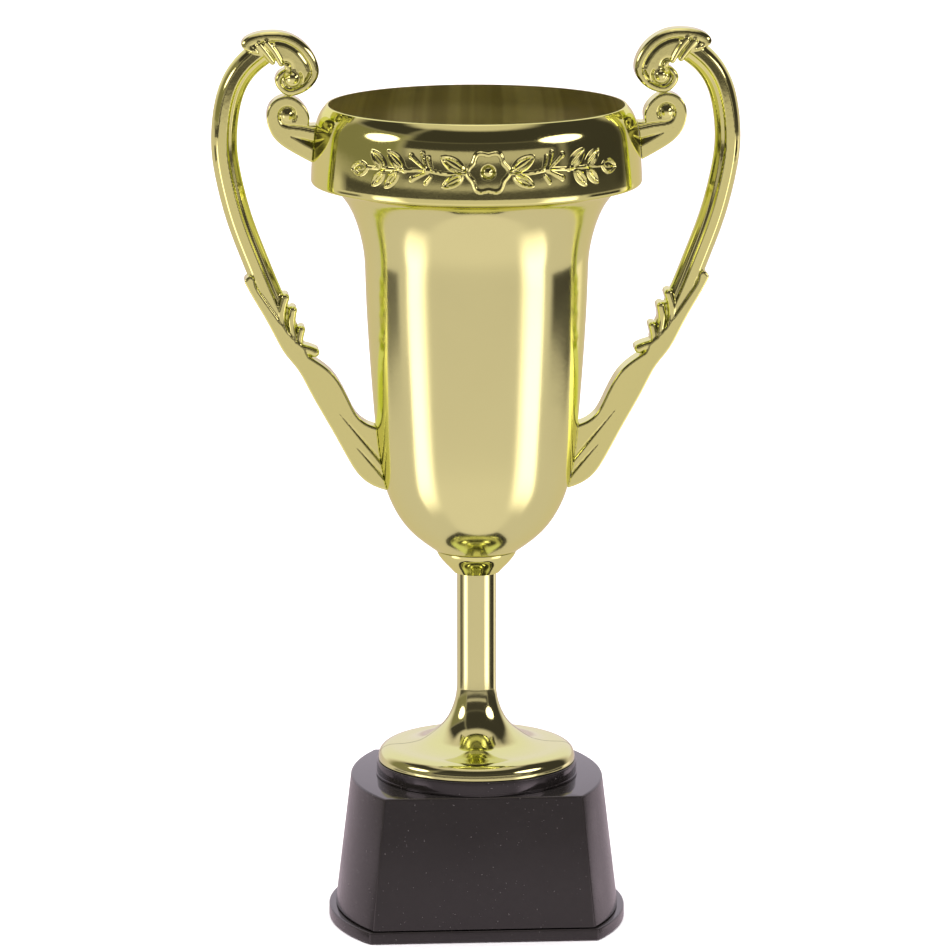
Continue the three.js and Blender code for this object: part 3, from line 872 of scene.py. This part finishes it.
def screw_hole(height, end):
    """Positive inside the hole that a handle screw runs into."""
    away = 1.15 - np.hypot(DEPTH_GRID[None, :, None], PLANE_Z[:, None, :] - height)
    return np.minimum(away, end - PLANE_X[:, None, :])


def handle_field():
    """All handle shapes joined with a small fillet, cut off at the cup and drilled for the screws."""
    fillet = 0.25
    solids = [arm(), crest(), *crest_fingers(), scroll(), leaf(), *leaf_fingers()]
    solids.append(bead(*CREST_BEAD, 1.65, 2.2))
    solids.append(bead(*SCROLL_BEAD, 1.7, 2.2))
    field = solids[0]
    for solid in solids[1:]:
        blend = np.clip(1 - np.abs(field - solid) / fillet, 0, 1)
        field = np.maximum(field, solid) + fillet * blend**2 / 4
    field = np.minimum(field, cup_clearance())
    for size in (UPPER_SCREW, LOWER_SCREW):
        field = np.minimum(field, -screw_hole(size["z"], size["hole_end"]))
    return field


def sample(volume, place):
    """Trilinear value of a grid volume at fractional grid places."""
    place = np.clip(place, 0, np.array(volume.shape) - 1.001)
    base = place.astype(int)
    part = place - base
    total = np.zeros(len(place))
    for corner in np.ndindex(2, 2, 2):
        weight = np.prod(np.where(corner, part, 1 - part), axis=1)
        total += weight * volume[tuple((base + corner).T)]
    return total


def skin(field):
    """Quad skin on the zero level of a grid that is positive inside: grid places, outward normals, faces."""
    inside = field > 0
    cells = np.zeros(np.array(field.shape) - 1, int)
    for corner in np.ndindex(2, 2, 2):
        cells += inside[tuple(slice(c, c - 1 or None) for c in corner)]
    mixed = (cells > 0) & (cells < 8)
    number = np.full(cells.shape, -1)
    number[mixed] = np.arange(mixed.sum())
    base = np.argwhere(mixed)
    total = np.zeros((len(base), 3))
    hits = np.zeros(len(base))
    for axis in range(3):
        unit = np.eye(3, dtype=int)[axis]
        for corner in np.ndindex(2, 2, 2):
            if corner[axis]:
                continue
            low, high = base + corner, base + corner + unit
            a, b = field[tuple(low.T)], field[tuple(high.T)]
            crosses = (a > 0) != (b > 0)
            share = np.where(crosses, a / np.where(crosses, a - b, 1), 0)
            total += np.where(crosses[:, None], low + share[:, None] * unit, 0)
            hits += crosses
    place = total / hits[:, None]
    slopes = np.gradient(field)
    for _ in range(2):
        normal = np.stack([sample(slope, place) for slope in slopes], axis=1)
        size = np.sum(normal**2, axis=1)
        move = np.clip(sample(field, place) / np.maximum(size, 1e-6), -3, 3)
        place -= np.clip(move[:, None] * normal, -0.6, 0.6)
    normal = -np.stack([sample(slope, place) for slope in slopes], axis=1)
    normal /= np.linalg.norm(normal, axis=1)[:, None]
    faces = []
    for axis in range(3):
        ahead = np.moveaxis(inside, axis, 0)
        change = ahead[1:] != ahead[:-1]
        change = np.moveaxis(change, 0, axis)
        spots = np.argwhere(change)
        others = [k for k in range(3) if k != axis]
        spots = spots[(spots[:, others[0]] > 0) & (spots[:, others[1]] > 0)]
        first, second = np.eye(3, dtype=int)[others[0]], np.eye(3, dtype=int)[others[1]]
        ring = [spots - first - second, spots - second, spots, spots - first]
        quad = np.stack([number[tuple(r.T)] for r in ring], axis=1)
        flip = inside[tuple(spots.T)] != (axis == 1)
        quad[~flip] = quad[~flip][:, ::-1]
        faces.append(quad)
    return place, normal, np.vstack(faces)


def handles():
    """The same skin on the right and mirrored on the left, with the field's own smooth normals."""
    place, normal, faces = skin(handle_field())
    vertices = place * STEP + [PLANE_X[0, 0], DEPTH_GRID[0], PLANE_Z[0, 0]]
    for name, mirror in (("right", 1), ("left", -1)):
        turned = faces if mirror > 0 else faces[:, ::-1]
        piece = mesh_piece(f"handle_{name}_moulding", vertices * (mirror, 1, 1), turned, GOLD_HANDLE, 180)
        piece.data.normals_split_custom_set_from_vertices((normal * (mirror, 1, 1)).tolist())
        finish_piece(piece, [f"handle_{name}"])


# ---- fixings: smooth looks for the screws, washers and nuts ----

def moved(piece, centre, axis):
    """Turns a piece made along Z to point along an axis, then moves it to its centre."""
    count = len(piece.data.vertices)
    place = np.zeros(count * 3)
    piece.data.vertices.foreach_get("co", place)
    place = place.reshape(count, 3)
    if axis == "x":
        place = place[:, [2, 0, 1]]
    elif axis == "-x":
        place = place[:, [2, 0, 1]] * (-1, -1, 1)
    piece.data.vertices.foreach_set("co", (place + np.array(centre) * MM).ravel())
    piece.data.update()
    return piece


def screw(name, node, centre, axis, head, shank, length):
    """Pan-head screw with a cross recess; its head faces down the axis at its centre."""
    thick = 1.05
    profile = rounded([
        (0.001, 0.0), (head * 0.55, 0.0), (head, thick * 0.7, 0.35), (head, thick), (shank, thick),
        (shank, length - 1.5), (0.3, length), (0.001, length),
    ])
    piece = lathe(name, profile, STEEL, 40, 35)
    arm = head * 0.52
    for size in ((arm, 0.3), (0.3, arm)):
        corners = np.array([(-1, -1), (1, -1), (1, 1), (-1, 1)]) * size
        levels = [np.c_[corners, np.full(4, -0.5)], np.c_[corners * 0.6, np.full(4, 0.7)]]
        carve(piece, [stacked("recess", levels, STEEL)])
    finish_piece(moved(piece, centre, axis), [node])


def washer(name, node, bottom):
    """Flat ring with softened edges."""
    radius, top = 5, bottom + 0.9
    outline = rounded([(ROD_HOLE, bottom), (radius, bottom, 0.15), (radius, top, 0.15), (ROD_HOLE, top)], 4)
    finish_piece(lathe(name, outline, STEEL, 64), [node])


def hexagon_nut(name, node, bottom, domed):
    """Six-sided nut with turned corners, with a dome over its end when asked for."""
    bore = 2.3
    top = bottom + NUT_HEIGHT
    turn = np.arange(6) * math.pi / 3
    flat = np.c_[4.05 * np.cos(turn), 4.05 * np.sin(turn)]
    piece = stacked(name, [np.c_[flat, np.full(6, bottom)], np.c_[flat, np.full(6, top)]], STEEL)
    limit = [
        (0.001, bottom - 0.1), (3.5, bottom - 0.1), (4.2, bottom + 0.45), (4.2, top - 0.45),
        (3.45, top + 0.1), (0.001, top + 0.1),
    ]
    shaper = lathe("shaper", limit, STEEL, 64)
    keep = piece.modifiers.new("turn", "BOOLEAN")
    keep.operation = "INTERSECT"
    keep.solver = "EXACT"
    keep.object = shaper
    carve(piece, [round_bar("bore", bore, bottom - 1, bottom + (4.2 if domed else 5), STEEL)])
    bpy.data.objects.remove(shaper)
    if domed:
        cap = arc_points((0, top - 0.05), 3.4, 0, 89.9, 16)
        under = arc_points((0, top - 0.05), bore + 0.2, 89.9, 0, 10)
        dome = lathe(f"{name}_dome", np.vstack([cap, under]), STEEL, 64, 60)
        finish_piece(dome, [node])
    finish_piece(piece, [node])


def fixings():
    """Screws of the base and the handles, and the washers and nuts of the tie rod."""
    for i, (x, y) in enumerate(PLATE_SCREW_PLACES):
        screw(f"base_screw_{i + 1}_detail", f"base_screw_{i + 1}", (x, y, 0.2), "z", 2.9, 1.2, 12.8)
    for side, axis, sign in (("left", "-x", -1), ("right", "x", 1)):
        for level, size in (("upper", UPPER_SCREW), ("lower", LOWER_SCREW)):
            name = f"{level}_screw_{side}"
            screw(f"{name}_detail", name, (sign * size["x"], 0, size["z"]), axis, 2.0, 0.85, size["length"])
    washer("top_washer_detail", "top_washer", 100.2)
    washer("bottom_washer_detail", "bottom_washer", 34.8)
    hexagon_nut("top_nut_detail", "top_nut", 101.4, True)
    hexagon_nut("bottom_nut_detail", "bottom_nut", 31.3, False)


base_plate()
base_body()
riser()
foot_and_stem()
calyx()
bowl()
rim_collar()
handles()
fixings()

# The tie rod and the ballast are shown as their CAD bodies; every other CAD node is replaced.
for name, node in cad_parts.items():
    material = IRON if name == "ballast" else STEEL
    for i in range(len(node.data.materials)):
        node.data.materials[i] = material


# ---- studio ----

def world_light():
    """Surroundings seen in the gold: a dark room behind the camera, two tall and two oval soft boxes,
    and a pale sweep. turn is the direction round from the front and rise the angle above level, in degrees.
    """
    world = bpy.data.worlds.new("studio")
    bpy.context.scene.world = world
    world.use_nodes = True
    g = Graph(world.node_tree)
    direction = g.node("ShaderNodeTexCoord").outputs["Generated"]
    split = g.node("ShaderNodeSeparateXYZ", Vector=direction)
    x, y, z = split.outputs
    turn = g.math("MULTIPLY", g.math("ARCTAN2", x, g.math("MULTIPLY", y, -1)), 180 / math.pi)
    rise = g.math("MULTIPLY", g.math("ARCSINE", z), 180 / math.pi)

    def band(value, low, high, soft):
        up = g.spread(value, low - soft, low + soft)
        down = g.spread(value, high - soft, high + soft, 1.0, 0.0)
        return g.math("MULTIPLY", up, down)

    def patch(turn_range, rise_range, soft):
        return g.math("MULTIPLY", band(turn, *turn_range, soft[0]), band(rise, *rise_range, soft[1]))

    def ellipse(turn_centre, rise_centre, turn_half, rise_half, tilt):
        soft = 0.12
        u = g.math("SUBTRACT", turn, turn_centre)
        v = g.math("SUBTRACT", g.math("SUBTRACT", rise, rise_centre), g.math("MULTIPLY", u, tilt))
        u = g.math("DIVIDE", u, turn_half)
        v = g.math("DIVIDE", v, rise_half)
        far = g.math("SQRT", g.math("ADD", g.math("MULTIPLY", u, u), g.math("MULTIPLY", v, v)))
        return g.spread(far, 1 - soft, 1 + soft, 1.0, 0.0)

    def tint(level):
        return (level, level * 0.82, level * 0.91)

    sweep_front = patch((-60, 60), (-95, -25), (10, 10))
    behind = g.math("SUBTRACT", 1.0, band(turn, -135, 135, 8))
    behind = g.math("MULTIPLY", behind, g.spread(rise, 0, 6))
    overhead = g.spread(rise, 74, 84)
    colour = g.mix(sweep_front, tint(0.72), tint(0.84))
    colour = g.mix(behind, colour, (0.93, 0.84, 0.95))
    colour = g.mix(patch((-58, 120), (22, 63), (8, 5)), colour, tint(0.05))
    colour = g.mix(overhead, colour, tint(1.3))
    # Each zone of the room: turn range, rise range, softness of both, colour. Later ones lie on top.
    zones = (
        ((-125, -58), (-3, 35), (8, 3), (0.24, 0.205, 0.15)),  # brown wall on the left
        ((-125, -58), (35, 60), (8, 4), tint(0.05)),  # above that wall
        ((58, 125), (-8, 58), (8, 2), tint(0.05)),  # dark wall on the right
        ((-58, 58), (-3, 24), (4, 2), tint(0.06)),  # dark wall behind the camera
        ((-58, 58), (-3, -0.4), (5, 0.5), tint(0.5)),  # pale line at its foot
        ((-56, 50), (3.8, 8.6), (5, 0.7), tint(0.56)),  # pale strip across it
        ((-110, 110), (-6.6, -3), (6, 0.5), tint(0.07)),  # dark edge of the table
        ((-116, -93), (-14.9, -9.5), (4, 0.5), tint(0.14)),  # dark screen on the left
        ((81, 117), (-14.9, -9), (4, 0.5), tint(0.05)),  # dark screen on the right
        ((118, 136), (-13.6, -8), (5, 0.8), tint(1.15)),  # light past that screen
    )
    for turn_range, rise_range, soft, shade in zones:
        colour = g.mix(patch(turn_range, rise_range, soft), colour, shade)
    lamp_rise = g.math("MULTIPLY", g.spread(rise, -53, -22), g.spread(rise, -12, -6, 1.0, 0.0))
    flare = g.spread(rise, -34, -14, 6.0, 0.0)
    for outer, inner in ((-83, -53), (73, 39)):
        inward = math.copysign(1, inner - outer)
        flared_turn = g.math("ADD", turn, g.math("MULTIPLY", flare, inward))
        crisp = g.spread(flared_turn, outer, outer + 6 * inward)
        fading = g.spread(turn, inner, inner - 16 * inward)
        lamp = g.math("MULTIPLY", g.math("MULTIPLY", crisp, fading), lamp_rise)
        colour = g.mix(lamp, colour, tint(2.6))
    colour = g.mix(ellipse(-79, 21.5, 14.5, 8, 0.12), colour, tint(4.0))
    colour = g.mix(ellipse(62, 23, 18, 8, -0.05), colour, tint(4.0))
    background = g.node("ShaderNodeBackground", Color=colour, Strength=1.0)
    output = g.node("ShaderNodeOutputWorld")
    g.plug(output.inputs["Surface"], background.outputs[0])


def floor():
    """Plain pale paper just under the object; the gold does not mirror it."""
    material, graph, place = new_material("floor_paper")
    colour = graph.mix(graph.noise(place, 3, 2), (0.9, 0.9, 0.9), (0.93, 0.93, 0.93))
    close_material(graph, colour, 0.9, 0.0, bump(graph, graph.noise(place, 200, 2), 0.00005))
    reach, level = 9000, -0.2
    corners = [(-reach, -reach, level), (reach, -reach, level), (reach, reach, level), (-reach, reach, level)]
    sweep = mesh_piece("floor", corners, [(0, 1, 2, 3)], material)
    sweep.visible_glossy = False


def area_light(name, place, aim, size, power):
    """Round soft light, not itself seen in the gold."""
    light = bpy.data.lights.new(name, "AREA")
    light.shape = "DISK"
    light.size = size
    light.energy = power
    lamp = bpy.data.objects.new(name, light)
    bpy.context.scene.collection.objects.link(lamp)
    lamp.location = place
    lamp.rotation_mode = "QUATERNION"
    lamp.rotation_quaternion = (Vector(aim) - Vector(place)).to_track_quat("-Z", "Y")
    lamp.visible_glossy = False


def camera():
    """Long lens, a little left of the front and above."""
    azimuth, pitch, distance = math.radians(-4.0), math.radians(11.4), 1.511
    aim = Vector((-0.0004, 0, 0.1178))
    back = Vector((
        math.sin(azimuth) * math.cos(pitch),
        -math.cos(azimuth) * math.cos(pitch),
        math.sin(pitch),
    ))
    data = bpy.data.cameras.new("camera")
    data.lens = 219.8
    data.sensor_width = 36
    data.clip_start = 0.01
    data.clip_end = 50
    seen_from = bpy.data.objects.new("camera", data)
    bpy.context.scene.collection.objects.link(seen_from)
    seen_from.location = aim + back * distance
    seen_from.rotation_mode = "QUATERNION"
    seen_from.rotation_quaternion = (-back).to_track_quat("-Z", "Y")
    bpy.context.scene.camera = seen_from


world_light()
floor()
area_light("overhead", (0, 0, 4), (0, 0, 0), 4.0, 300)
camera()
bpy.context.scene.view_settings.view_transform = "Standard"
